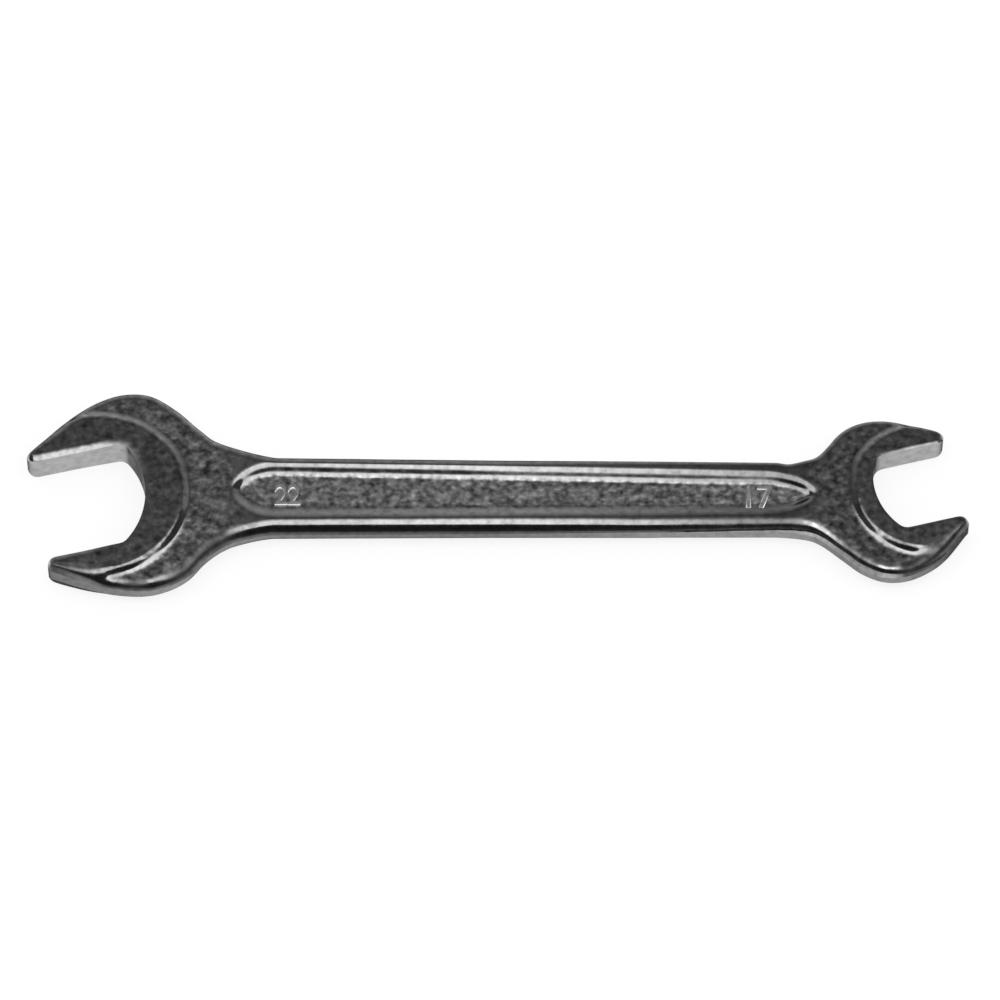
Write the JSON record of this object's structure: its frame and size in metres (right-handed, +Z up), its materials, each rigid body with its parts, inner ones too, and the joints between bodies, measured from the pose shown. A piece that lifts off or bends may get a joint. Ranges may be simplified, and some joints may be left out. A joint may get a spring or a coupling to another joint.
{
  "type": "open end wrench",
  "caption": "Double open end wrench: a flat forged shank with a long recessed panel and a slanted open jaw at each end, one larger than the other.",
  "frame": {"origin": "under the middle of the tool, on the surface that it lies on", "axes": "+X along the shank from the large jaw to the small jaw, +Z up out of the face that the picture shows"},
  "size_m": [0.1852, 0.0446, 0.007],
  "materials": {
    "plated_steel": "satin chrome plate over a drop forging"
  },
  "bodies": {
    "root": {"forged_body": "plated_steel"}
  },
  "joints": []
}
